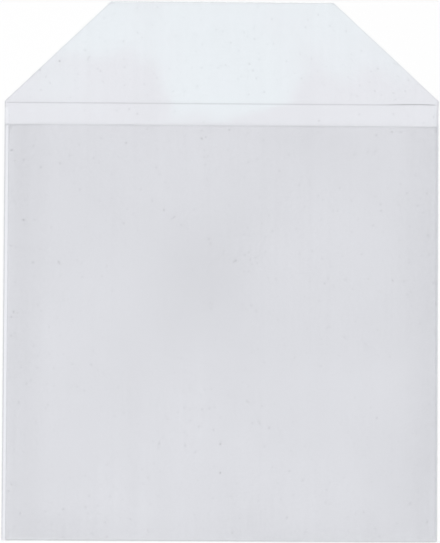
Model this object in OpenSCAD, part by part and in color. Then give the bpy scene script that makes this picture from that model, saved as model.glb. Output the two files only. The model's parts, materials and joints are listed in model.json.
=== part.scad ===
// Clear film sleeve for one optical disc, lying on its back with the flap open.
// X runs across the sleeve, Y from the bottom fold to the flap, and Z up through the films.
// The origin lies under the middle of the open sleeve, on the surface that it rests on.
// One blank of film makes it all: folded at the bottom, welded along both sides and creased at the flap.
// The pocket is drawn as it stands round a disc, with the front film level over the disc
// and coming down to the weld on each side.

/* [Disc] */
// Diameter of the disc that the pocket takes
disc_d = 120; // [70:1:160]
// Thickness of that disc
disc_t = 1.2; // [0.8:0.1:2.4]
// Room for the disc between the two films
disc_play = 0.3; // [0.1:0.05:1]

/* [Film] */
// Thickness of the film
film_t = 0.1; // [0.05:0.01:0.2]

/* [Pocket] */
// From the disc's edge to the outer edge of the sleeve, on each side
side_room = 3.5; // [2.5:0.1:8]
// From the disc's edge to the line where the front film starts to come down
edge_play = 0.2; // [0.1:0.05:0.5]
// From the disc's edge to the mouth, with the disc pushed down to the bottom fold
depth_room = 1.4; // [0.5:0.1:8]
// Band of single film between the mouth and the flap's crease
throat_h = 6.3; // [4:0.1:20]

/* [Side welds] */
// Width of each weld, over its bead
weld_w = 1; // [0.6:0.1:1.5]
// Diameter of the melted bead along the cut edge
bead_d = 0.3; // [0.2:0.02:0.5]
// Radius of the sleeve's bottom corners
corner_r = 0.5; // [0.2:0.05:0.5]

/* [Flap] */
// Height of the flap, from its crease to its top edge
flap_h = 29.8; // [15:0.1:60]
// Width of the flap's top edge
flap_tip_w = 65; // [40:0.5:75]
// Straight run of the side edges above the crease, before the flap's corners are cut away
shoulder_h = 0.8; // [0.2:0.1:5]
// Width of the line pressed into the film along the crease
crease_w = 0.4; // [0.2:0.05:1]
// Depth of that line
crease_d = 0.03; // [0.01:0.01:0.04]
// Gap between the closed flap and the front film
closed_gap = 0.1; // [0.05:0.05:0.5]

/* [Hidden] */
$fn = 32;

// Clear gap between the films, and the height of the front film's outer face
gap = disc_t + disc_play;
pocket_z = gap + 2 * film_t;
// Outer radius of the film where it turns round the bottom of the pocket
fold_r = pocket_z / 2;

// Half widths: over all, to the welds' inner edges, and of the level part of the front film
half_w = disc_d / 2 + side_room;
weld_x = half_w - weld_w;
level_x = disc_d / 2 + edge_play;

// Heights above the bottom edge
mouth_y = film_t + disc_d + depth_room;
crease_y = mouth_y + throat_h;
shoulder_y = crease_y + shoulder_h;
tip_y = crease_y + flap_h;

// Height of the line that the flap turns about, which lays the closed flap level over the front film,
// and half the length of film that bends round that line
hinge_z = (pocket_z + closed_gap + film_t) / 2;
bend_h = PI * (hinge_z - film_t / 2) / 2;
bend_start_y = crease_y - bend_h;
bend_end_y = crease_y + bend_h;

// Thickness of the slices that the ends of the bottom fold are drawn between
slice_t = 0.01;

film_colour = [0.86, 0.89, 0.92, 0.45];
weld_colour = [0.93, 0.95, 0.97, 0.75];

// Moves a shape drawn up from the bottom edge to its place about the origin.
module placed() {
    translate([0, -tip_y / 2, 0]) children();
}

// Flat film between two heights, to a half width, with its lower face at z.
module film_sheet(x, y0, y1, z) {
    translate([-x, y0, z]) cube([2 * x, y1 - y0, film_t]);
}

// Extrudes a profile drawn in X and Z along Y, from y0 to y1.
module along_y(y0, y1) {
    translate([0, y1, 0]) rotate([90, 0, 0]) linear_extrude(y1 - y0) children();
}

// Extrudes a profile drawn in Y and Z along X, from x0 to x1.
module along_x(x0, x1) {
    translate([x0, 0, 0]) rotate([90, 0, 90]) linear_extrude(x1 - x0) children();
}

// Half disc with its flat side on the line where the fold begins.
module half_disc(r) {
    intersection() {
        translate([fold_r, fold_r]) circle(r);
        square([fold_r, pocket_z]);
    }
}

// The outline of the flap, down to where its film starts to bend.
module flap_outline() {
    polygon([
        [-half_w, bend_start_y],
        [half_w, bend_start_y],
        [half_w, shoulder_y],
        [flap_tip_w / 2, tip_y],
        [-flap_tip_w / 2, tip_y],
        [-half_w, shoulder_y]
    ]);
}

// The part of the flap's film between two heights.
module flap_film(y0, y1) {
    linear_extrude(film_t) intersection() {
        flap_outline();
        translate([-half_w, y0]) square([2 * half_w, y1 - y0]);
    }
}

// The melted bead on the right edge, between two heights.
module edge_bead(y0, y1) {
    along_y(y0, y1) translate([half_w - bead_d / 2, bead_d / 2]) circle(d = bead_d);
}

// The bead on both edges, where there is any between the two heights.
module edge_beads(y0, y1) {
    if (y1 > y0) {
        edge_bead(y0, y1);
        mirror([1, 0, 0]) edge_bead(y0, y1);
    }
}

// The right weld's flat strip, of a given thickness, between two heights.
module weld_strip(y0, y1, thickness) {
    translate([weld_x, y0, 0]) cube([weld_w - bead_d / 2, y1 - y0, thickness]);
}

// Bottom end of the right weld, fused flat, with the sleeve's rounded corner.
module weld_foot() {
    linear_extrude(2 * film_t) {
        translate([weld_x, 0]) square([weld_w - corner_r, corner_r]);
        intersection() {
            translate([half_w - corner_r, corner_r]) circle(corner_r);
            translate([half_w - corner_r, 0]) square(corner_r);
        }
    }
}

// The front film's right side, coming down from over the disc to the weld.
module pocket_side() {
    along_y(fold_r, mouth_y) polygon([
        [level_x, pocket_z - film_t],
        [weld_x, film_t],
        [weld_x, 2 * film_t],
        [level_x, pocket_z]
    ]);
}

module side_weld() {
    weld_foot();
    weld_strip(corner_r, mouth_y, 2 * film_t);
    weld_strip(mouth_y, bend_start_y, film_t);
    edge_bead(corner_r, bend_start_y);
}

// The right end of the bottom fold, pressed from round to flat where it runs into the weld.
module fold_end() {
    difference() {
        hull() {
            along_x(level_x, level_x + slice_t) half_disc(fold_r);
            along_x(weld_x - slice_t, weld_x) square([fold_r, 2 * film_t]);
        }
        hull() {
            along_x(level_x, level_x + slice_t) half_disc(fold_r - film_t);
            along_x(weld_x - slice_t, weld_x) translate([film_t, film_t]) square([fold_r - film_t, slice_t]);
        }
    }
}

module back_panel() {
    color(film_colour) placed() film_sheet(weld_x, fold_r, bend_start_y, 0);
}

module front_panel() {
    color(film_colour) placed() film_sheet(level_x, fold_r, mouth_y, pocket_z - film_t);
}

module left_pocket_side() {
    color(film_colour) placed() mirror([1, 0, 0]) pocket_side();
}

module right_pocket_side() {
    color(film_colour) placed() pocket_side();
}

module bottom_fold() {
    color(film_colour) placed() {
        along_x(-level_x, level_x) difference() {
            half_disc(fold_r);
            half_disc(fold_r - film_t);
        }
        fold_end();
        mirror([1, 0, 0]) fold_end();
    }
}

module left_side_weld() {
    color(weld_colour) placed() mirror([1, 0, 0]) side_weld();
}

module right_side_weld() {
    color(weld_colour) placed() side_weld();
}

module flap_crease() {
    color(film_colour) placed() {
        difference() {
            flap_film(bend_start_y, bend_end_y);
            along_x(-half_w, half_w) polygon([
                [crease_y - crease_w / 2, film_t],
                [crease_y, film_t - crease_d],
                [crease_y + crease_w / 2, film_t]
            ]);
        }
        edge_beads(bend_start_y, min(shoulder_y, bend_end_y));
    }
}

module flap() {
    color(film_colour) placed() {
        flap_film(bend_end_y, tip_y);
        edge_beads(bend_end_y, shoulder_y);
    }
}

back_panel();
front_panel();
left_pocket_side();
right_pocket_side();
bottom_fold();
left_side_weld();
right_side_weld();
flap_crease();
flap();
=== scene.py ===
"""Looks of a clear film sleeve for one disc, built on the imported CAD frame.

The sleeve lies on its back with the flap open. X runs across it, Y from the bottom fold to the flap and Z up
through the films, in metres. Every film piece is a closed sheet of its real thickness.
"""

import json
import logging
import math
from collections.abc import Callable, Sequence
from dataclasses import dataclass, field
from enum import Enum
from typing import Any

import bmesh
import bpy
from bpy.types import Material, Mesh, NodeSocket, Object
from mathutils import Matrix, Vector
from mathutils.noise import noise as uneven


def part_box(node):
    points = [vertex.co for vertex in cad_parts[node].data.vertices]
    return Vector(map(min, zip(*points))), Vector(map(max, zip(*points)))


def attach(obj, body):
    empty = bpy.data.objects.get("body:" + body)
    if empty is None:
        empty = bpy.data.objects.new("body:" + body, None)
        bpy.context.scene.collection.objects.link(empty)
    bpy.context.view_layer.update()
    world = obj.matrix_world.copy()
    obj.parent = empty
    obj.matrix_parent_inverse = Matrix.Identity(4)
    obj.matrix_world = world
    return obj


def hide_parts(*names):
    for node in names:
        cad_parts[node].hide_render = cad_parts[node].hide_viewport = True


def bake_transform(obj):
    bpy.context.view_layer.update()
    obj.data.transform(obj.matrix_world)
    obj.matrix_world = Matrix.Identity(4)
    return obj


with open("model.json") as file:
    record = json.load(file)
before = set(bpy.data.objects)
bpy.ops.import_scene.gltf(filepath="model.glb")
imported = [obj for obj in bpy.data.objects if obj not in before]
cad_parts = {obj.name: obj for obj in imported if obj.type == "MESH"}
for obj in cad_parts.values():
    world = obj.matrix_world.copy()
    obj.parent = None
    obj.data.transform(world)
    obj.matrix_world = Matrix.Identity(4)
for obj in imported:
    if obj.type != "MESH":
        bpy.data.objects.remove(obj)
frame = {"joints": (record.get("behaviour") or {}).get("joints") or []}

LOG = logging.getLogger("sleeve")

MM = 0.001
# Share of the light from white paper that is left when a film without any cast lies on it.
PAPER_UNDER_CLEAR = 0.927
# Faces of one film that light crosses on its way down to the paper and up again.
FACES_CROSSED = 4
# The most faces that a ray may cross. Three films lie on each other, so this leaves room.
MOST_CROSSINGS = 32
# Nearly all of a noise lies between these two.
NOISE_SPAN = (0.3, 0.7)
# This far from a line, in millimetres, none of it shows.
FAR_MM = 9.0
# Points of a film that are closer than this are one point.
MERGE = 0.002 * MM
# Faces that meet at more than this angle have a sharp edge between them.
SHARP = math.radians(50)
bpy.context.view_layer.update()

# A value by its place across the sleeve and along it.
Rule = Callable[[float, float], float]


class Body(Enum):
    """The two bodies that the frame moves."""

    POCKET = "pocket"
    FLAP = "flap"


class Slot(Enum):
    """The record's material slots."""

    FILM = "clear_film"
    FOLD = "folded_film"
    WELD = "side_weld"


class Held(Enum):
    """How a sheet of film is held in place."""

    LAID = "laid"
    STRETCHED = "stretched"


class Side(Enum):
    """Which edge of the sleeve a weld runs along, by its sign on X."""

    LEFT = -1
    RIGHT = 1

    @classmethod
    def of(cls, x: float) -> "Side":
        """The side that a place across the sleeve lies on."""
        return cls.LEFT if x < 0 else cls.RIGHT


def linear(colour: str) -> tuple[float, float, float, float]:
    """Turns an sRGB hex colour to linear light.

    Args:
        colour: Six hex digits, with or without a leading mark.

    Returns:
        Linear red, green and blue, and an alpha of 1.
    """
    digits = colour.lstrip("#")
    parts = [int(digits[i:i + 2], 16) / 255 for i in (0, 2, 4)]
    red, green, blue = (c / 12.92 if c <= 0.04045 else ((c + 0.055) / 1.055) ** 2.4 for c in parts)
    return red, green, blue, 1.0


def add(tree: bpy.types.NodeTree, kind: str, feeds: dict[str | int, Any] | None = None,
        **settings: Any) -> bpy.types.Node:
    """Adds a node with its settings, and sets or links its inputs.

    Args:
        tree: The shader or geometry tree that gets the node.
        kind: The node's type name.
        feeds: For each input, by name or number, a value or the output that feeds it.
        **settings: Properties of the node itself.

    Returns:
        The new node.
    """
    node = tree.nodes.new(kind)
    for name, value in settings.items():
        setattr(node, name, value)
    for key, value in (feeds or {}).items():
        if isinstance(value, NodeSocket):
            tree.links.new(value, node.inputs[key])
        else:
            node.inputs[key].default_value = value
    return node


def cleared(owner: Material | bpy.types.World) -> bpy.types.NodeTree:
    """Gives a material or a world an empty node tree.

    Args:
        owner: The material or world.

    Returns:
        Its tree.
    """
    owner.use_nodes = True
    owner.node_tree.nodes.clear()
    return owner.node_tree


def put(name: str, data: bpy.types.ID) -> Object:
    """Makes an object and links it to the scene.

    Args:
        name: The object's name.
        data: Its mesh, light or camera.

    Returns:
        The new object, at the origin.
    """
    made = bpy.data.objects.new(name, data)
    bpy.context.scene.collection.objects.link(made)
    return made


def smooth(share: float) -> float:
    """Eases a share from 0 to 1, level at both ends."""
    held = min(max(share, 0.0), 1.0)
    return held * held * (3 - 2 * held)


def nothing(x: float, y: float) -> float:
    """The rule for a mark that is 0 all over."""
    return 0.0


def per_metre(millimetres: float) -> float:
    """Scale of a pattern on Object coordinates whose features are this many millimetres across."""
    return 1 / (millimetres * MM)


@dataclass(frozen=True)
class FilmFinish:
    """Clear cast polypropylene film, as it comes off a chill roll.

    Each face mirrors about 4% head on and more at a slant, and lets the rest through with a faint blue-grey
    cast. Fine die lines, soft clouds and dust are what the eye catches on it, with a grey line of painted
    shade along each cut edge. Painted shade also darkens the film where it comes down beside the welds, over
    the fold, where it clings to the film under it and along the pressed crease. The cast is the colour of
    white paper seen through one film, and the cool cast is the same where the film lies closest to the paper,
    in the middle of the flap. A pattern's own name is the depth of its shade, and with mm behind it the size
    of its features.
    """

    name: str
    cast: str = "e7e8ed"
    cool: str = "ebf0f4"
    blotch: float = 0.4
    mirror: float = 0.04
    steepness: float = 5.0
    polish: tuple[float, float] = (0.03, 0.09)
    wave: float = 0.12
    wave_mm: float = 11.0
    wave_height: float = 0.5 * MM
    cloud: float = 0.002
    cloud_mm: float = 38.0
    cloud_span: tuple[float, float] = (0.32, 0.68)
    mottle: float = 0.002
    mottle_mm: float = 1.1
    streak: float = 0.002
    streak_mm: float = 1.4
    streak_stretch: float = 0.012
    dust: float = 0.0
    dust_mm: float = 5.0
    grain_mm: tuple[float, float] = (0.14, 0.38)
    bare: float = 0.4
    faint: float = 0.56
    bold_power: float = 200.0
    line: float = 0.03
    line_mm: float = 0.34
    line_core: float = 0.45
    margin: float = 0.016

    def face(self, cast: str) -> tuple[float, ...]:
        """What one face passes: light crosses two faces on its way to the paper and two on its way back.

        Args:
            cast: The colour of white paper seen through one film.

        Returns:
            Linear red, green and blue.
        """
        return tuple((part / PAPER_UNDER_CLEAR) ** (1 / FACES_CROSSED) for part in linear(cast)[:3])

    def material(self) -> Material:
        """Builds the film's material.

        Returns:
            A material that passes light straight through and mirrors the rest.
        """
        made = bpy.data.materials.new(self.name)
        tree = cleared(made)
        place = add(tree, "ShaderNodeTexCoord").outputs["Object"]
        # Soft clouds, tens of millimetres across, where the film was handled and pressed.
        cloud = add(tree, "ShaderNodeTexNoise", {"Vector": place, "Scale": per_metre(self.cloud_mm),
                                                 "Detail": 3.0, "Roughness": 0.45}).outputs[0]
        clear = add(tree, "ShaderNodeBsdfTransparent", {"Color": self.passed(tree, place, cloud)})
        gloss = self.gloss(tree, place, cloud)
        facing = add(tree, "ShaderNodeLayerWeight", {"Blend": 0.5}).outputs["Facing"]
        steep = add(tree, "ShaderNodeMath", {0: facing, 1: self.steepness}, operation="POWER")
        mirrored = add(tree, "ShaderNodeMath", {0: steep.outputs[0], 1: 1 - self.mirror, 2: self.mirror},
                       operation="MULTIPLY_ADD")
        film = add(tree, "ShaderNodeMixShader", {0: mirrored.outputs[0], 1: clear.outputs[0], 2: gloss})
        # Where the film runs on into the next piece there is no real face, so nothing shows.
        joined = add(tree, "ShaderNodeAttribute", attribute_name="joined")
        gone = add(tree, "ShaderNodeBsdfTransparent")
        shown = add(tree, "ShaderNodeMixShader",
                    {0: joined.outputs["Fac"], 1: film.outputs[0], 2: gone.outputs[0]})
        add(tree, "ShaderNodeOutputMaterial", {"Surface": shown.outputs[0]})
        return made

    def passed(self, tree: bpy.types.NodeTree, place: NodeSocket, cloud: NodeSocket) -> NodeSocket:
        """Draws what one face passes: its cast, less the marks on it and the painted shade.

        Args:
            tree: The material's tree.
            place: Object coordinates.
            cloud: The noise of the soft clouds.

        Returns:
            The colour that the face passes.
        """
        evenly = {1: NOISE_SPAN[0], 2: NOISE_SPAN[1], 3: -1.0, 4: 1.0}
        clouds = add(tree, "ShaderNodeMapRange",
                     {0: cloud, 1: self.cloud_span[0], 2: self.cloud_span[1], 3: -1.0, 4: 1.0})

        # The fine mottle of a cast face. A real one is finer still, and is drawn as coarse as shows in the
        # render.
        peel = add(tree, "ShaderNodeTexNoise",
                   {"Vector": place, "Scale": per_metre(self.mottle_mm), "Detail": 2.0})
        mottle = add(tree, "ShaderNodeMapRange", {0: peel.outputs[0], **evenly})

        # Die lines run the length of the sleeve. Real ones are a few hundredths of a millimetre wide.
        # They are drawn as wide as shows in the render.
        drawn = add(tree, "ShaderNodeMapping", {"Vector": place, "Scale": (1.0, self.streak_stretch, 1.0)})
        die = add(tree, "ShaderNodeTexNoise",
                  {"Vector": drawn.outputs[0], "Scale": per_metre(self.streak_mm), "Detail": 2.0})
        streaks = add(tree, "ShaderNodeMapRange", {0: die.outputs[0], **evenly})

        # The cut edge and the pressed crease scatter light, so they show as a grey line, which is painted in
        # as shade.
        edge = add(tree, "ShaderNodeAttribute", attribute_name="line_mm")
        core, rim = self.line_mm * self.line_core, self.line_mm
        lines = add(tree, "ShaderNodeMapRange", {0: edge.outputs["Fac"], 1: core, 2: rim, 3: 1.0, 4: 0.0})
        # Painted shade where the film comes down beside the welds, over the fold, where it clings and at the
        # crease.
        shade_mark = add(tree, "ShaderNodeAttribute", attribute_name="margin")

        through: Any = 1.0
        for pattern, depth in ((clouds.outputs[0], self.cloud), (mottle.outputs[0], self.mottle),
                               (streaks.outputs[0], self.streak), (self.grains(tree, place), self.dust),
                               (lines.outputs[0], self.line), (shade_mark.outputs["Fac"], self.margin)):
            through = add(tree, "ShaderNodeMath", {0: pattern, 1: -depth, 2: through},
                          operation="MULTIPLY_ADD").outputs[0]

        # The cool field is blotchy, as the clouds are.
        near = add(tree, "ShaderNodeAttribute", attribute_name="cool")
        blotch = add(tree, "ShaderNodeMath", {0: clouds.outputs[0], 1: self.blotch, 2: 1.0},
                     operation="MULTIPLY_ADD")
        cool = add(tree, "ShaderNodeMath", {0: near.outputs["Fac"], 1: blotch.outputs[0]},
                   operation="MULTIPLY")
        cast = add(tree, "ShaderNodeMix",
                   {0: cool.outputs[0], 4: self.face(self.cast), 5: self.face(self.cool)}, data_type="VECTOR")
        return add(tree, "ShaderNodeVectorMath", {0: cast.outputs[1], "Scale": through},
                   operation="SCALE").outputs[0]

    def grains(self, tree: bpy.types.NodeTree, place: NodeSocket) -> NodeSocket:
        """Draws the dust: one grain in some cells of a few millimetres, a few tenths of a millimetre across.

        Args:
            tree: The material's tree.
            place: Object coordinates.

        Returns:
            How strongly a grain shows. Most are faint, and about one in a hundred is bold.
        """
        grain = add(tree, "ShaderNodeTexVoronoi", {"Vector": place, "Scale": per_metre(self.dust_mm)},
                    voronoi_dimensions="2D")
        core, rim = (across / self.dust_mm for across in self.grain_mm)
        size = add(tree, "ShaderNodeMapRange",
                   {0: grain.outputs["Distance"], 1: core, 2: rim, 3: 1.0, 4: 0.0})
        luck = add(tree, "ShaderNodeSeparateColor", {0: grain.outputs["Color"]})
        chosen = add(tree, "ShaderNodeMapRange", {0: luck.outputs[2], 1: self.bare, 2: 1.0, 3: 0.0, 4: 1.0})
        pale = add(tree, "ShaderNodeMath", {0: chosen.outputs[0], 1: self.faint}, operation="MULTIPLY")
        bold = add(tree, "ShaderNodeMath", {0: chosen.outputs[0], 1: self.bold_power}, operation="POWER")
        strong = add(tree, "ShaderNodeMath", {0: bold.outputs[0], 1: 1 - self.faint, 2: pale.outputs[0]},
                     operation="MULTIPLY_ADD")
        return add(tree, "ShaderNodeMath", {0: size.outputs[0], 1: strong.outputs[0]},
                   operation="MULTIPLY").outputs[0]

    def gloss(self, tree: bpy.types.NodeTree, place: NodeSocket, cloud: NodeSocket) -> NodeSocket:
        """Draws a gloss that is a little uneven, with the long soft waves of film that cooled on a roll.

        Args:
            tree: The material's tree.
            place: Object coordinates.
            cloud: The noise of the soft clouds.

        Returns:
            The mirror's shader.
        """
        polish = add(tree, "ShaderNodeMapRange", {0: cloud, 1: NOISE_SPAN[0], 2: NOISE_SPAN[1],
                                                  3: self.polish[0], 4: self.polish[1]})
        wave = add(tree, "ShaderNodeTexNoise",
                   {"Vector": place, "Scale": per_metre(self.wave_mm), "Detail": 1.0})
        bump = add(tree, "ShaderNodeBump",
                   {"Height": wave.outputs[0], "Strength": self.wave, "Distance": self.wave_height})
        return add(tree, "ShaderNodeBsdfAnisotropic",
                   {"Color": linear("ffffff"), "Roughness": polish.outputs[0],
                    "Normal": bump.outputs[0]}).outputs[0]


@dataclass
class NodeTree:
    """A geometry tree under construction, with its named inputs."""

    name: str
    tree: bpy.types.NodeTree = field(init=False)
    keys: dict[str, str] = field(init=False, default_factory=dict)
    start: bpy.types.Node = field(init=False)

    def __post_init__(self) -> None:
        """Starts the tree with its geometry input and output."""
        self.tree = bpy.data.node_groups.new(self.name, "GeometryNodeTree")
        self.tree.interface.new_socket("Geometry", in_out="INPUT", socket_type="NodeSocketGeometry")
        self.tree.interface.new_socket("Geometry", in_out="OUTPUT", socket_type="NodeSocketGeometry")
        self.start = self.tree.nodes.new("NodeGroupInput")

    def input(self, name: str, kind: str = "Float") -> NodeSocket:
        """Adds a named input.

        Args:
            name: The input's name.
            kind: The kind of value it takes, as in the names of Blender's sockets.

        Returns:
            The output of the group's input node that carries it.
        """
        socket = self.tree.interface.new_socket(name, in_out="INPUT", socket_type=f"NodeSocket{kind}")
        self.keys[name] = socket.identifier
        return self.start.outputs[name]

    def end(self, geometry: NodeSocket, material: NodeSocket) -> None:
        """Closes the tree: realised, dressed and handed out.

        Args:
            geometry: What the tree made.
            material: The input that carries its material.
        """
        real = add(self.tree, "GeometryNodeRealizeInstances", {0: geometry})
        dressed = add(self.tree, "GeometryNodeSetMaterial",
                      {"Geometry": real.outputs[0], "Material": material})
        add(self.tree, "NodeGroupOutput", {0: dressed.outputs[0]})

    def grow(self, base: Mesh, **values: Any) -> Mesh:
        """Runs the tree on a mesh.

        Args:
            base: The mesh that the tree starts from.
            **values: The tree's inputs, by name with spaces as underscores.

        Returns:
            The result as a plain mesh.
        """
        carrier = put("carrier", base)
        modifier = carrier.modifiers.new(self.name, "NODES")
        modifier.node_group = self.tree
        for name, value in values.items():
            modifier[self.keys[name.replace("_", " ")]] = value
        graph = bpy.context.evaluated_depsgraph_get()
        mesh = bpy.data.meshes.new_from_object(carrier.evaluated_get(graph), preserve_all_data_layers=True,
                                               depsgraph=graph)
        carrier.modifiers.remove(modifier)
        bpy.data.objects.remove(carrier)
        return mesh


def film_tree() -> NodeTree:
    """Builds the tree that raises a flat cut of film by its rule, ripples it and gives it its thickness.

    Returns:
        The tree.
    """
    made = NodeTree("film sheet")
    tree, geometry = made.tree, made.start.outputs[0]
    material = made.input("Material", "Material")
    thickness = made.input("Thickness")
    ripple, length, seed = made.input("Ripple"), made.input("Ripple length"), made.input("Seed")
    place = add(tree, "GeometryNodeInputPosition").outputs[0]
    rise = add(tree, "GeometryNodeInputNamedAttribute", {"Name": "rise"}, data_type="FLOAT")
    free = add(tree, "GeometryNodeInputNamedAttribute", {"Name": "free"}, data_type="FLOAT")
    pitch = add(tree, "ShaderNodeMath", {0: 1.0, 1: length}, operation="DIVIDE")
    noise = add(tree, "ShaderNodeTexNoise",
                {"Vector": place, "W": seed, "Scale": pitch.outputs[0], "Detail": 1.0}, noise_dimensions="4D")
    centred = add(tree, "ShaderNodeMapRange", {0: noise.outputs[0], 1: 0.0, 2: 1.0, 3: -1.0, 4: 1.0})
    waves = add(tree, "ShaderNodeMath", {0: centred.outputs[0], 1: ripple}, operation="MULTIPLY")
    lift = add(tree, "ShaderNodeMath", {0: waves.outputs[0], 1: free.outputs[0], 2: rise.outputs[0]},
               operation="MULTIPLY_ADD")
    offset = add(tree, "ShaderNodeCombineXYZ", {2: lift.outputs[0]})
    under = add(tree, "GeometryNodeSetPosition", {"Geometry": geometry, "Offset": offset.outputs[0]})
    up = add(tree, "ShaderNodeCombineXYZ", {2: 1.0})
    over = add(tree, "GeometryNodeExtrudeMesh",
               {"Mesh": under.outputs[0], "Offset": up.outputs[0], "Offset Scale": thickness,
                "Individual": False})
    turned = add(tree, "GeometryNodeFlipFaces", {0: under.outputs[0]})
    both = add(tree, "GeometryNodeJoinGeometry", {0: over.outputs[0]})
    tree.links.new(turned.outputs[0], both.inputs[0])
    closed = add(tree, "GeometryNodeMergeByDistance", {"Geometry": both.outputs[0], "Distance": MERGE})
    soft = add(tree, "GeometryNodeSetShadeSmooth", {"Geometry": closed.outputs[0], "Shade Smooth": True})
    made.end(soft.outputs[0], material)
    return made


def weld_tree() -> NodeTree:
    """Builds the tree that draws a weld's section along the sleeve's edge, with a bead that melted unevenly.

    Returns:
        The tree.
    """
    made = NodeTree("trim weld")
    tree, geometry = made.tree, made.start.outputs[0]
    material = made.input("Material", "Material")
    low, high = made.input("From"), made.input("To")
    step = made.input("Step")
    inner, outer = made.input("Inner"), made.input("Outer")
    corner, melt = made.input("Corner"), made.input("Melt")
    length, seed = made.input("Lump length"), made.input("Seed")
    section = add(tree, "GeometryNodeMeshToCurve", {0: geometry})
    foot, head = (add(tree, "ShaderNodeCombineXYZ", {1: y}) for y in (low, high))
    path = add(tree, "GeometryNodeCurvePrimitiveLine", {"Start": foot.outputs[0], "End": head.outputs[0]})
    rows = add(tree, "GeometryNodeResampleCurve", {"Curve": path.outputs[0], "Length": step}, mode="LENGTH")
    swept = add(tree, "GeometryNodeCurveToMesh",
                {"Curve": rows.outputs[0], "Profile Curve": section.outputs[0], "Fill Caps": True})

    place = add(tree, "GeometryNodeInputPosition").outputs[0]
    axis = add(tree, "ShaderNodeSeparateXYZ", {0: place})
    away = add(tree, "ShaderNodeMath", {0: axis.outputs[0]}, operation="ABSOLUTE")
    side = add(tree, "ShaderNodeMath", {0: axis.outputs[0]}, operation="SIGN")
    reach = add(tree, "ShaderNodeMapRange", {0: away.outputs[0], 1: inner, 2: outer, 3: 0.0, 4: -1.0})
    # The rounded bottom corner: a quarter circle drawn in from the cut edge.
    height = add(tree, "ShaderNodeMath", {0: axis.outputs[1], 1: low}, operation="SUBTRACT")
    below = add(tree, "ShaderNodeMapRange", {0: height.outputs[0], 1: 0.0, 2: corner, 3: 1.0, 4: 0.0})
    square = add(tree, "ShaderNodeMath", {0: below.outputs[0], 1: below.outputs[0]}, operation="MULTIPLY")
    rest = add(tree, "ShaderNodeMath", {0: 1.0, 1: square.outputs[0]}, operation="SUBTRACT")
    root = add(tree, "ShaderNodeMath", {0: rest.outputs[0]}, operation="SQRT")
    cut = add(tree, "ShaderNodeMath", {0: 1.0, 1: root.outputs[0]}, operation="SUBTRACT")
    drawn = add(tree, "ShaderNodeMath", {0: cut.outputs[0], 1: corner}, operation="MULTIPLY")
    # The bead's lumps, longer than they are wide, fixed by the seed.
    pitch = add(tree, "ShaderNodeMath", {0: 1.0, 1: length}, operation="DIVIDE")
    noise = add(tree, "ShaderNodeTexNoise",
                {"Vector": place, "W": seed, "Scale": pitch.outputs[0], "Detail": 2.0}, noise_dimensions="4D")
    lumps = add(tree, "ShaderNodeMath", {0: noise.outputs[0], 1: melt, 2: drawn.outputs[0]},
                operation="MULTIPLY_ADD")
    inward = add(tree, "ShaderNodeMath", {0: lumps.outputs[0], 1: reach.outputs[0]}, operation="MULTIPLY")
    shift = add(tree, "ShaderNodeMath", {0: inward.outputs[0], 1: side.outputs[0]}, operation="MULTIPLY")
    offset = add(tree, "ShaderNodeCombineXYZ", {0: shift.outputs[0]})
    shaped = add(tree, "GeometryNodeSetPosition", {"Geometry": swept.outputs[0], "Offset": offset.outputs[0]})
    soft = add(tree, "GeometryNodeSetShadeSmooth", {"Geometry": shaped.outputs[0], "Shade Smooth": True})
    made.end(soft.outputs[0], material)
    return made


def mark_points(mesh: Mesh, marks: dict[str, Rule]) -> None:
    """Stores numbers on every point of a mesh.

    Args:
        mesh: The mesh.
        marks: For each point attribute, its value by X and Y.
    """
    for name, rule in marks.items():
        mark = mesh.attributes.new(name, "FLOAT", "POINT")
        mark.data.foreach_set("value", [rule(point.co.x, point.co.y) for point in mesh.vertices])


def flat_cut(rows: Sequence[tuple[float, float, float]], columns: int, marks: dict[str, Rule]) -> Mesh:
    """Draws a flat cut of film as rows of points from edge to edge.

    Args:
        rows: Height, left edge and right edge of each row.
        columns: Cells across each row.
        marks: For each point attribute, its value by X and Y.

    Returns:
        The flat mesh, facing up.
    """
    wide = columns + 1
    points = [(left + (right - left) * i / columns, y, 0.0) for y, left, right in rows for i in range(wide)]
    faces = [(j * wide + i, j * wide + i + 1, (j + 1) * wide + i + 1, (j + 1) * wide + i)
             for j in range(len(rows) - 1) for i in range(columns)]
    mesh = bpy.data.meshes.new("flat cut")
    mesh.from_pydata(points, [], faces)
    mark_points(mesh, marks)
    return mesh


def lofted(loops: Sequence[Sequence[tuple[float, float, float]]]) -> Mesh:
    """Skins closed loops of points in order, and closes both ends.

    Args:
        loops: The loops, each with the same number of points.

    Returns:
        A closed mesh. Its faces are turned outwards when the piece is finished.
    """
    size = len(loops[0])
    faces: list[tuple[int, ...]] = []
    for j in range(len(loops) - 1):
        for i in range(size):
            n = (i + 1) % size
            faces.append((j * size + i, j * size + n, (j + 1) * size + n, (j + 1) * size + i))
    faces += [tuple(range(size)), tuple((len(loops) - 1) * size + i for i in range(size))]
    mesh = bpy.data.meshes.new("lofted")
    mesh.from_pydata([p for loop in loops for p in loop], [], faces)
    return mesh


def mark_joins(mesh: Mesh) -> None:
    """Marks the end faces where one piece of the blank runs on into the next.

    Args:
        mesh: The piece's mesh, in place.
    """
    lines, close, mostly = (LINES.fold_y, LINES.bend_y, LINES.flap_y), 0.02 * MM, 0.7
    mark = mesh.attributes.new("joined", "FLOAT", "FACE")
    mark.data.foreach_set("value", [
        float(abs(face.normal.y) > mostly and any(abs(face.center.y - line) < close for line in lines))
        for face in mesh.polygons])


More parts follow.
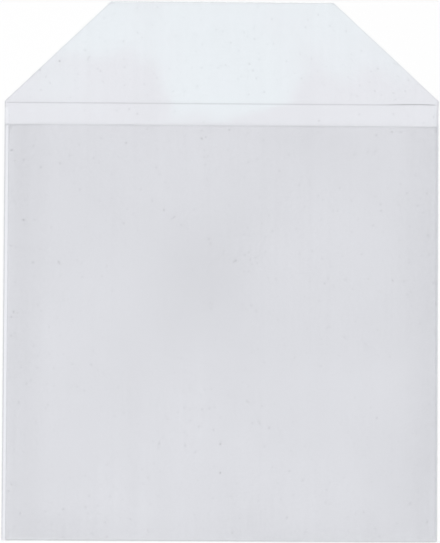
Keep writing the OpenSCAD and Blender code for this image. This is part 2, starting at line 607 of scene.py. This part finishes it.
def piece(name: str, mesh: Mesh, material: Material) -> Object:
    """Makes a finished piece of a closed mesh: facing outwards, smooth, with sharp rims.

    Args:
        name: The piece's name.
        mesh: Its closed mesh, in place.
        material: Its finish.

    Returns:
        The new object.
    """
    work = bmesh.new()
    work.from_mesh(mesh)
    bmesh.ops.recalc_face_normals(work, faces=work.faces)
    work.to_mesh(mesh)
    work.free()
    mark_joins(mesh)
    mesh.shade_smooth()
    mesh.set_sharp_from_angle(angle=SHARP)
    mesh.name = name
    mesh.materials.clear()
    mesh.materials.append(material)
    made = put(name, mesh)
    LOG.info("%s: %d points, %d faces", name, len(mesh.vertices), len(mesh.polygons))
    return made


@dataclass(frozen=True)
class Patch:
    """A soft oval patch where the film clings to what lies under it.

    Its place is from the middle of the sleeve, and its share is what it gives at its centre.
    """

    x: float
    y: float
    half_length: float
    half_width: float
    share: float
    turn: float = 0.0

    def at(self, x: float, y: float) -> float:
        """How strongly the patch shows at a place.

        Args:
            x: Place across the sleeve.
            y: Place along it.

        Returns:
            The patch's share, fading away from its centre.
        """
        along = (x - self.x) * math.cos(self.turn) + (y - self.y) * math.sin(self.turn)
        across = (y - self.y) * math.cos(self.turn) - (x - self.x) * math.sin(self.turn)
        return self.share * math.exp(-(along / self.half_length) ** 2 - (across / self.half_width) ** 2)


@dataclass(frozen=True)
class SleeveLines:
    """Where the frame puts the sleeve's edges and folds, in metres.

    The left weld is drawn a little wider than its CAD node and the right one narrower, because the blade
    cut closer there.
    """

    half_width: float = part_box("right_side_weld")[1].x
    left_weld: float = 1.15 * MM
    right_weld: float = 0.55 * MM
    bottom_y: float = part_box("bottom_fold")[0].y
    fold_y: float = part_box("back_panel")[0].y
    mouth_y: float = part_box("front_panel")[1].y
    bend_y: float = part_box("flap_crease")[0].y
    crease_y: float = frame["joints"][0]["pos_m"][1]
    flap_y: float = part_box("flap_crease")[1].y
    tip_y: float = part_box("flap")[1].y
    film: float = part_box("back_panel")[1].z

    @property
    def left_x(self) -> float:
        """The left weld's inner edge."""
        return self.left_weld - self.half_width

    @property
    def right_x(self) -> float:
        """The right weld's inner edge."""
        return self.half_width - self.right_weld

    @property
    def width(self) -> float:
        """Width of the pocket's films, from weld to weld."""
        return self.right_x - self.left_x

    def inset(self, x: float) -> float:
        """Distance from a place in the pocket to the nearer weld."""
        return min(x - self.left_x, self.right_x - x)


LINES = SleeveLines()


@dataclass(frozen=True)
class CloseFilm:
    """Where the single film above the mouth lies closest to the paper, and so looks cool.

    It does so in the middle of the flap and towards its tip. The lower border of that field lies a little
    below the crease in the middle and climbs on both sides. Below the crease the field narrows and leans to
    the left. The border is uneven, in patches of a few millimetres. Spots add to the field or take from it,
    at heights above the crease. The field ends softly at the mouth.
    """

    middle: float = 2.0 * MM
    level_half: float = 12.0 * MM
    climb_run: float = 13.0 * MM
    border: float = -4.0 * MM
    left_climb: float = 17.0 * MM
    right_climb: float = 13.0 * MM
    blur: float = 8.5 * MM
    patch: float = 8.0 * MM
    wander: float = 0.45
    lean: float = 2.0
    narrowing: float = 1.2
    mouth_blur: float = 2.0 * MM
    spots: tuple[Patch, ...] = (
        Patch(-47 * MM, 6 * MM, 7 * MM, 6 * MM, 0.6),
        Patch(26 * MM, 12 * MM, 5 * MM, 5 * MM, -0.5),
    )

    def at(self, x: float, y: float) -> float:
        """How closely the film lies on the paper at a place.

        Args:
            x: Place across the sleeve.
            y: Place along it.

        Returns:
            A share from 0 to 1. It is 0 in the pocket.
        """
        rise = y - LINES.crease_y
        below = min(rise, 0.0)
        beside = abs(x - self.middle - self.lean * below) - self.level_half - self.narrowing * below
        climb = self.left_climb if x < 0 else self.right_climb
        start = self.border + climb * smooth(beside / self.climb_run)
        shifted = 0.5 + self.wander * uneven((x / self.patch, y / self.patch, 0.0))
        share = smooth((rise - start) / self.blur + shifted) + sum(spot.at(x, rise) for spot in self.spots)
        above_mouth = smooth((y - LINES.mouth_y) / self.mouth_blur + 0.5)
        return above_mouth * min(max(share, 0.0), 1.0)


CLOSE = CloseFilm()


@dataclass(frozen=True)
class SideShade:
    """The painted shade beside one weld, where the front film comes down: full near the mouth, weaker low
    down.

    Right at a wide weld, which holds the film flat, it has only a share of its strength.
    """

    at_weld: float
    low: float
    low_y: float
    run: float

    def at(self, away: float, y: float) -> float:
        """How strong the shade is at a place.

        Args:
            away: Distance from the weld, as a share of the run over which the weld holds the film flat.
            y: Place along the sleeve.

        Returns:
            A share from 0 to 1.
        """
        held = self.at_weld + (1 - self.at_weld) * smooth(away)
        return held * (self.low + (1 - self.low) * smooth((y - self.low_y) / self.run))


@dataclass
class Pocket:
    """The back film, the front film and the fold that joins them at the bottom."""

    back_finish: FilmFinish = FilmFinish("cast polypropylene film, back", dust=0.12, dust_mm=4.3, faint=0.5,
                                         mottle=0.003)
    front_finish: FilmFinish = FilmFinish("cast polypropylene film, front", cast="f5f5f5", dust=0.125)
    fold_finish: FilmFinish = FilmFinish("folded polypropylene film", cast="edeef0", line=0.027, line_mm=0.5)
    cell: float = 1.6 * MM
    side_run: float = 13.0 * MM
    # Painted shade beside the welds, where the front film comes down.
    side_shade: float = 0.9
    shade_start: float = 3.0 * MM
    shade_run: float = 10.5 * MM
    left_shade: SideShade = SideShade(0.35, 0.65, -60 * MM, 40 * MM)
    right_shade: SideShade = SideShade(1.0, 0.8, -8 * MM, 25 * MM)
    # Painted shade over the fold.
    fold_shade: float = 0.35
    fold_run: float = 9.0 * MM
    fold_gap: float = 0.2 * MM
    middle_gap: float = 1.15 * MM
    mouth_gap: float = 0.8 * MM
    least_gap: float = 0.03 * MM
    mouth_line: float = 0.45
    weld_line: float = 1.2
    weld_start: float = 0.08 * MM
    free_run: float = 20.0 * MM
    ripple: float = 0.4 * MM
    ripple_length: float = 34.0 * MM
    back_seed: float = 1.0
    front_seed: float = 4.0
    fold_steps: int = 14
    # Patches of painted shade where the front film clings to the back one. A share below 0 paints it lighter.
    clings: tuple[Patch, ...] = (
        Patch(-4 * MM, 2 * MM, 36 * MM, 14 * MM, 0.45, math.radians(48)),
        Patch(-4 * MM, 3 * MM, 13 * MM, 14 * MM, 0.5),
        Patch(51 * MM, -63 * MM, 9 * MM, 13 * MM, 0.45),
        Patch(47 * MM, -34 * MM, 12 * MM, 8 * MM, -0.3),
        Patch(-53 * MM, -3 * MM, 5 * MM, 18 * MM, 0.2),
        Patch(30 * MM, 39 * MM, 13 * MM, 8 * MM, 0.3),
        Patch(-52 * MM, -75 * MM, 16 * MM, 5 * MM, 0.4),
    )

    def columns(self) -> int:
        """Cells across the panels, the same on both so that the fold meets them."""
        return round(LINES.width / self.cell)

    def rows(self, low: float, high: float) -> list[tuple[float, float, float]]:
        """Evenly spaced rows of the full pocket's width.

        Args:
            low: Height of the first row.
            high: Height of the last row.

        Returns:
            Height, left edge and right edge of each row.
        """
        count = round((high - low) / self.cell)
        return [(low + (high - low) * j / count, LINES.left_x, LINES.right_x) for j in range(count + 1)]

    def gap(self, x: float, y: float) -> float:
        """Height of the front film's lower face above the back film, before its ripples.

        Args:
            x: Place across the sleeve.
            y: Place along it.

        Returns:
            The gap in metres: nothing at the welds, and most in the middle of the pocket.
        """
        along = (y - LINES.fold_y) / (LINES.mouth_y - LINES.fold_y)
        ends = self.fold_gap + (self.mouth_gap - self.fold_gap) * along
        crown = ends + (self.middle_gap - ends) * math.sin(math.pi * min(max(along, 0.0), 1.0))
        return self.least_gap + crown * smooth(LINES.inset(x) / self.side_run)

    def free(self, x: float, y: float) -> float:
        """How freely the front film ripples: not at the welds and the fold, and fully near the mouth."""
        return smooth(LINES.inset(x) / self.side_run) * smooth((y - LINES.fold_y) / self.free_run)

    def shade(self, x: float, y: float) -> float:
        """The painted shade on the front film: beside the welds, over the fold and where it clings to the
        back.

        Args:
            x: Place across the sleeve.
            y: Place along it.

        Returns:
            A share, which is 1 beside the right weld.
        """
        inset = LINES.inset(x)
        beside = self.side_shade * (1 - smooth((inset - self.shade_start) / self.shade_run))
        beside *= (self.left_shade if x < 0 else self.right_shade).at(inset / self.shade_start, y)
        over_fold = self.fold_shade * (1 - smooth((y - LINES.fold_y) / self.fold_run))
        return max(beside, over_fold) + sum(patch.at(x, y) for patch in self.clings)

    def line_mm(self, x: float, y: float) -> float:
        """Distance in millimetres from the front film's cut edge or from the start of its weld, for the
        painted grey line.

        Args:
            x: Place across the sleeve.
            y: Place along it.

        Returns:
            The distance, stretched so that the weld's line is the finer one.
        """
        from_weld = LINES.inset(x) * self.weld_line + self.weld_start
        return min((LINES.mouth_y - y) * self.mouth_line, from_weld) / MM

    def build(self, tree: NodeTree) -> None:
        """Builds the three pieces.

        Args:
            tree: The tree that turns a flat cut into film.
        """
        under, over = self.back_finish.material(), self.front_finish.material()
        back = tree.grow(
            flat_cut(self.rows(LINES.fold_y, LINES.bend_y), self.columns(),
                     {"rise": nothing, "free": nothing, "line_mm": lambda x, y: FAR_MM,
                      "margin": nothing, "cool": CLOSE.at}),
            Material=under, Thickness=LINES.film, Ripple=0.0, Ripple_length=self.ripple_length,
            Seed=self.back_seed)
        laid = piece("back_film", back, under)
        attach(laid, Body.POCKET.value)
        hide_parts("back_panel")

        front = tree.grow(
            flat_cut(self.rows(LINES.fold_y, LINES.mouth_y), self.columns(),
                     {"rise": lambda x, y: LINES.film + self.gap(x, y), "free": self.free,
                      "line_mm": self.line_mm, "margin": self.shade, "cool": nothing}),
            Material=over, Thickness=LINES.film, Ripple=self.ripple, Ripple_length=self.ripple_length,
            Seed=self.front_seed)
        raised = piece("front_film", front, over)
        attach(raised, Body.POCKET.value)
        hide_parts("front_panel", "left_pocket_side", "right_pocket_side")

        turned = piece("bottom_fold_film", self.fold(), self.fold_finish.material())
        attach(turned, Body.POCKET.value)
        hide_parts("bottom_fold")

    def fold(self) -> Mesh:
        """Draws the film that turns round the bottom of the pocket, pressed flat where it meets the welds.

        Returns:
            The closed mesh, with its outer edge on one straight line.
        """
        depth = LINES.fold_y - LINES.bottom_y
        loops = []
        count = self.columns()
        for i in range(count + 1):
            x = LINES.left_x + LINES.width * i / count
            radius = LINES.film + self.gap(x, LINES.fold_y) / 2
            loop = []
            for reach, rise, order in ((depth, radius, 1), (depth - LINES.film, radius - LINES.film, -1)):
                for k in range(self.fold_steps + 1):
                    turn = order * math.pi * (k / self.fold_steps - 0.5)
                    loop.append((x, LINES.fold_y - reach * math.cos(turn), radius + rise * math.sin(turn)))
            loops.append(loop)
        mesh = lofted(loops)
        # The grey line along the fold's outer edge is painted shade.
        mark_points(mesh, {"line_mm": lambda x, y: (y - LINES.bottom_y) / MM, "margin": nothing,
                           "cool": nothing})
        return mesh


@dataclass
class SideWeld:
    """One trim weld: film fused flat, with the bead that the hot blade left along the cut edge."""

    side: Side
    node: str
    finish: FilmFinish
    seed: float
    bead: float = 0.15 * MM
    corner: float = 0.5 * MM
    throat_corner: float = 0.001 * MM
    melt: float = 0.05 * MM
    lump_length: float = 3.0 * MM
    step: float = 0.25 * MM
    finer: float = 0.15 * MM
    arc_steps: int = 14

    def inner(self) -> float:
        """Distance from the middle of the sleeve to the weld's inner edge."""
        return LINES.right_x if self.side is Side.RIGHT else -LINES.left_x

    def section(self, thickness: float) -> Mesh:
        """Draws the weld's section as a closed line, on X and Y of the sweep.

        Args:
            thickness: Of the fused film.

        Returns:
            The closed line as a mesh of edges.
        """
        sign = self.side.value
        centre = LINES.half_width - self.bead
        last = math.pi - math.asin((thickness - self.bead) / self.bead)
        points = [(self.inner(), 0.0)]
        for k in range(self.arc_steps + 1):
            turn = -math.pi / 2 + (last + math.pi / 2) * k / self.arc_steps
            points.append((centre + self.bead * math.cos(turn), self.bead + self.bead * math.sin(turn)))
        points.append((self.inner(), thickness))
        mesh = bpy.data.meshes.new("weld section")
        mesh.from_pydata([(sign * x, -z, 0.0) for x, z in points],
                         [(i, (i + 1) % len(points)) for i in range(len(points))], [])
        return mesh

    def pocket_mm(self, x: float, y: float) -> float:
        """Distance in millimetres from the bead's edge, or from the mouth, whose painted grey line crosses
        the weld.
        """
        return min(LINES.half_width - abs(x), LINES.mouth_y - y) / MM

    def throat_mm(self, x: float, y: float) -> float:
        """Distance in millimetres from the bead's edge above the mouth, where its painted grey line is finer.
        """
        return (LINES.half_width - abs(x) + self.finer) / MM

    def build(self, tree: NodeTree) -> None:
        """Builds the weld along the pocket and along the throat above the mouth.

        Args:
            tree: The tree that draws a section along the edge.
        """
        fused = self.finish.material()
        work = bmesh.new()
        for low, high, thickness, corner, line in (
                (LINES.bottom_y, LINES.mouth_y, 2 * LINES.film, self.corner, self.pocket_mm),
                (LINES.mouth_y, LINES.bend_y, LINES.film, self.throat_corner, self.throat_mm)):
            part = tree.grow(self.section(thickness), Material=fused, From=low, To=high, Step=self.step,
                             Inner=self.inner(), Outer=LINES.half_width, Corner=corner, Melt=self.melt,
                             Lump_length=self.lump_length, Seed=self.seed)
            mark_points(part, {"line_mm": line, "margin": nothing, "cool": nothing})
            work.from_mesh(part)
        mesh = bpy.data.meshes.new("weld")
        work.to_mesh(mesh)
        work.free()
        made = piece(f"{self.side.name.lower()}_weld", mesh, fused)
        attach(made, Body.POCKET.value)
        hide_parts(self.node)


@dataclass
class Flap:
    """The tongue above the mouth, and the strip at its crease.

    The left shoulder is drawn a little lower than the right one, as the blank was cut. The crease was pressed
    harder near its right end, so its line lies a little higher there and has more painted shade.
    """

    film_finish: FilmFinish = FilmFinish("cast polypropylene film, flap", dust=0.12, dust_mm=3.0, faint=0.48,
                                         mottle=0.004, streak=0.003)
    crease_finish: FilmFinish = FilmFinish("creased polypropylene film", line=0.06, line_mm=0.24)
    left_shoulder: float = 0.42 * MM
    right_shoulder: float = 1.2 * MM
    tip_half: float = 32.6 * MM
    groove_half: float = 0.2 * MM
    groove: float = 0.03 * MM
    pressed_x: float = 46.0 * MM
    pressed_run: float = 9.0 * MM
    pressed_end: float = 60.0 * MM
    pressed_fade: float = 3.2 * MM
    pressed_half: float = 0.25 * MM
    pressed_rise: float = 0.15 * MM
    # Depth of the crease's painted shade where it was pressed harder.
    pressed: float = 5.5
    bead: float = 0.15 * MM
    weld: float = 1.2 * MM
    weld_fade: float = 0.5
    end_line: float = 0.6
    rim_run: float = 0.3 * MM
    rim_gap: float = 0.1 * MM
    turn_half: float = 0.85 * MM
    cell: float = 1.6 * MM
    row: float = 0.09 * MM
    lift: float = 0.22 * MM
    free_run: float = 14.0 * MM
    ripple: float = 0.3 * MM
    ripple_length: float = 27.0 * MM
    seed: float = 7.0
    arc_steps: int = 10

    def start(self, side: Side) -> float:
        """Height where the slanted cut begins on one side."""
        return LINES.crease_y + (self.left_shoulder if side is Side.LEFT else self.right_shoulder)

    def half_at(self, y: float, side: Side) -> float:
        """Reach of the flap to one side at a height.

        Args:
            y: The height.
            side: The side.

        Returns:
            The reach from the middle: full up to the shoulder, then along the slanted cut.
        """
        start = self.start(side)
        share = max((y - start) / (LINES.tip_y - start), 0.0)
        return LINES.half_width + (self.tip_half - LINES.half_width) * share

    def free(self, x: float, y: float) -> float:
        """How freely the tongue ripples: not at the crease, and fully a little way above it."""
        return smooth((y - LINES.flap_y) / self.free_run)

    def edge_mm(self, x: float, y: float) -> float:
        """Distance in millimetres from a point of the flap to its nearest cut edge, for its painted grey
        line.
        """
        side = Side.of(x)
        run, rise = LINES.half_width - self.tip_half, LINES.tip_y - self.start(side)
        slant = (self.half_at(y, side) - abs(x)) * rise / math.hypot(run, rise)
        return min(slant, LINES.tip_y - y) / MM

    def harder(self, x: float) -> float:
        """How much harder the crease was pressed at a place across, as a share from 0 to 1."""
        fade = 1 - smooth((x - self.pressed_end) / self.pressed_fade)
        return fade * smooth((x - self.pressed_x) / self.pressed_run)

    def off_crease(self, x: float, y: float) -> float:
        """Distance from the pressed line."""
        return abs(y - LINES.crease_y - self.pressed_rise * self.harder(x))

    def crease_mm(self, x: float, y: float) -> float:
        """Distance in millimetres from the pressed line, which fades over the weld, or from its end, for its
        painted grey line.
        """
        faded = max(abs(x) - LINES.half_width + self.weld, 0.0) * self.weld_fade
        from_end = (self.half_at(y, Side.of(x)) - abs(x)) * self.end_line
        return min(self.off_crease(x, y) + faded, from_end) / MM

    def crease_shade(self, x: float, y: float) -> float:
        """How much painted shade darkens the crease where it was pressed harder."""
        return self.pressed * self.harder(x) * max(1 - self.off_crease(x, y) / self.pressed_half, 0.0)

    def build(self, tree: NodeTree) -> None:
        """Builds the tongue and the crease.

        Args:
            tree: The tree that turns a flat cut into film.
        """
        length = LINES.tip_y - LINES.flap_y
        count = round(length / self.cell)
        heights = [LINES.flap_y + length * j / count for j in range(count + 1)]
        film = self.film_finish.material()
        tongue = tree.grow(
            flat_cut([(y, -self.half_at(y, Side.LEFT), self.half_at(y, Side.RIGHT)) for y in heights],
                     round(2 * LINES.half_width / self.cell),
                     {"rise": lambda x, y: self.lift * self.free(x, y), "free": self.free,
                      "line_mm": self.edge_mm, "margin": nothing, "cool": CLOSE.at}),
            Material=film, Thickness=LINES.film, Ripple=self.ripple, Ripple_length=self.ripple_length,
            Seed=self.seed)
        made = piece("flap_film", tongue, film)
        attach(made, Body.FLAP.value)
        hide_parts("flap")
        width = self.half_at(LINES.flap_y, Side.LEFT) + self.half_at(LINES.flap_y, Side.RIGHT)

        bent = piece("crease_film", self.crease(), self.crease_finish.material())
        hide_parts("flap_crease")
        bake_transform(bent)

    def rim(self, y: float, top: float, side: Side) -> list[tuple[float, float]]:
        """Draws one end of the crease's section: the weld's bead up to the shoulder, then a plain cut edge.

        Args:
            y: Height of the section.
            top: Height of the film's upper face there.
            side: Which end.

        Returns:
            X and Z of each point, from the lower face up to the upper one.
        """
        bead = self.bead + (LINES.film / 2 - self.bead) * smooth((y - self.start(side)) / self.rim_run)
        centre = self.half_at(y, side) - bead
        last = math.pi - math.asin(min((LINES.film - bead) / bead, 1.0))
        arc = [-math.pi / 2 + (last + math.pi / 2) * k / self.arc_steps for k in range(self.arc_steps + 1)]
        points = [(centre + bead * math.cos(t), bead + bead * math.sin(t)) for t in arc]
        points[-1] = (points[-1][0], top)
        return [(side.value * x, z) for x, z in points]

    def crease(self) -> Mesh:
        """Draws the strip of film at the crease, with its pressed line and the beads on its ends.

        Returns:
            The closed mesh.
        """
        count = round((LINES.flap_y - LINES.bend_y) / self.row)
        heights = {LINES.bend_y + (LINES.flap_y - LINES.bend_y) * j / count for j in range(count + 1)}
        heights |= {LINES.crease_y + share * self.groove_half for share in (-1.0, -0.5, 0.0, 0.5, 1.0)}
        across = 2 * round(LINES.half_width / self.cell)
        loops = []
        for y in sorted(heights):
            top = LINES.film - self.groove * max(1 - abs(y - LINES.crease_y) / self.groove_half, 0.0)
            left, right = self.rim(y, top, Side.LEFT), self.rim(y, top, Side.RIGHT)
            low = max(left[0][0], left[-1][0]) + self.rim_gap
            high = min(right[0][0], right[-1][0]) - self.rim_gap
            first = max(low, self.weld - LINES.half_width) + self.rim_gap
            last = min(high, LINES.half_width - self.weld) - self.rim_gap
            middle = [low, *(first + (last - first) * i / across for i in range(across + 1)), high]
            loop = [(x, y, 0.0) for x in middle]
            loop += [(x, y, z) for x, z in right]
            loop += [(x, y, top) for x in reversed(middle)]
            loop += [(x, y, z) for x, z in reversed(left)]
            loops.append(loop)
        mesh = lofted(loops)
        mark_points(mesh, {"line_mm": self.crease_mm, "margin": self.crease_shade, "cool": CLOSE.at})
        return mesh


@dataclass(frozen=True)
class Lamp:
    """A lamp that looks at the sleeve, with its place, width and height in metres and its power in watts."""

    name: str
    place: tuple[float, float, float]
    size: tuple[float, float]
    power: float

    def hang(self) -> None:
        """Hangs the lamp in its place."""
        light = bpy.data.lights.new(self.name, "AREA")
        light.shape, light.size, light.size_y, light.energy = "RECTANGLE", *self.size, self.power
        lamp = put(self.name, light)
        lamp.location = self.place
        lamp.rotation_mode = "QUATERNION"
        lamp.rotation_quaternion = (-Vector(self.place)).to_track_quat("-Z", "Y")


@dataclass(frozen=True)
class BoardFinish:
    """White painted board, with a tooth too fine to cast shade, so that it looks evenly matt."""

    name: str = "white painted board"
    colour: str = "fbfbfb"
    roughness: float = 0.6

    def material(self) -> Material:
        """Builds the board's material.

        Returns:
            A plain matt material.
        """
        made = bpy.data.materials.new(self.name)
        tree = cleared(made)
        paint = add(tree, "ShaderNodeBsdfDiffuse",
                    {"Color": linear(self.colour), "Roughness": self.roughness})
        add(tree, "ShaderNodeOutputMaterial", {"Surface": paint.outputs[0]})
        return made


@dataclass
class Studio:
    """The white floor, the lamps and the camera above.

    The lamps are narrow, so that the gloss film shows thin glints from the side and not one broad white
    field.
    """

    board: BoardFinish = BoardFinish()
    floor_half: float = 3.0
    frame_height: float = 158.70 * MM
    lens: float = 135.0
    turn: tuple[float, float, float] = (math.radians(1.251), math.radians(-0.679), math.radians(0.337))
    aim: tuple[float, float] = (-0.28 * MM, -0.11 * MM)
    clip: tuple[float, float] = (0.01, 20.0)
    floor_drop: float = 0.06 * MM
    horizon: float = 0.47
    zenith: float = 0.155
    lamps: tuple[Lamp, ...] = (
        Lamp("key_softbox", (-0.66, -0.44, 0.86), (0.08, 0.3), 5.33),
        Lamp("fill_softbox", (0.66, 0.46, 0.88), (0.08, 0.3), 4.43),
        Lamp("left_tube", (-0.48, 0.70, 0.84), (0.02, 0.6), 2.71),
        Lamp("right_tube", (0.50, -0.70, 0.84), (0.02, 0.6), 2.71),
    )

    def build(self) -> None:
        """Builds the floor, the lamps, the world and the camera."""
        self.floor()
        for lamp in self.lamps:
            lamp.hang()
        self.walls()
        self.camera()

    def floor(self) -> None:
        """Lays the floor, just under the sleeve."""
        mesh = bpy.data.meshes.new("floor")
        corners = ((-1, -1), (1, -1), (1, 1), (-1, 1))
        mesh.from_pydata([(x * self.floor_half, y * self.floor_half, -self.floor_drop) for x, y in corners],
                         [], [(0, 1, 2, 3)])
        mesh.materials.append(self.board.material())
        put("floor", mesh)

    def walls(self) -> None:
        """Lights the world as a pale room: light walls that fade to a dim ceiling."""
        world = bpy.data.worlds.new("studio")
        tree = cleared(world)
        height = add(tree, "ShaderNodeSeparateXYZ", {0: add(tree, "ShaderNodeTexCoord").outputs["Generated"]})
        level = add(tree, "ShaderNodeMapRange",
                    {0: height.outputs[2], 1: 0.0, 2: 1.0, 3: self.horizon, 4: self.zenith})
        room = add(tree, "ShaderNodeBackground", {"Color": linear("ffffff"), "Strength": level.outputs[0]})
        add(tree, "ShaderNodeOutputWorld", {"Surface": room.outputs[0]})
        bpy.context.scene.world = world

    def camera(self) -> None:
        """Hangs the camera above, tilted and turned as little as the photograph is."""
        data = bpy.data.cameras.new("camera")
        data.lens = self.lens
        distance = self.frame_height * self.lens / data.sensor_width
        camera = put("camera", data)
        camera.rotation_euler = self.turn
        back = camera.rotation_euler.to_matrix() @ Vector((0.0, 0.0, distance))
        camera.location = Vector((*self.aim, 0.0)) + back
        data.clip_start, data.clip_end = self.clip
        bpy.context.scene.camera = camera


def main() -> None:
    """Builds the studio and the sleeve."""
    logging.basicConfig(level=logging.INFO, format="%(message)s")
    bpy.context.scene.view_settings.view_transform = "Standard"
    bpy.context.scene.cycles.transparent_max_bounces = MOST_CROSSINGS
    Studio().build()
    sheets, welds = film_tree(), weld_tree()
    # The grey lines along the weld beads are painted shade.
    clear = FilmFinish("fused polypropylene, clear", cast="eeeff4", polish=(0.12, 0.3), line=0.085,
                       line_mm=0.42)
    # The right weld gets a greyer cast than the left one.
    greyer = FilmFinish("fused polypropylene, cloudy", cast="d9dbdf", polish=(0.12, 0.3))
    Pocket().build(sheets)
    SideWeld(Side.LEFT, "left_side_weld", clear, seed=2.0).build(welds)
    SideWeld(Side.RIGHT, "right_side_weld", greyer, seed=5.0).build(welds)
    Flap().build(sheets)


if __name__ == "__main__":
    main()
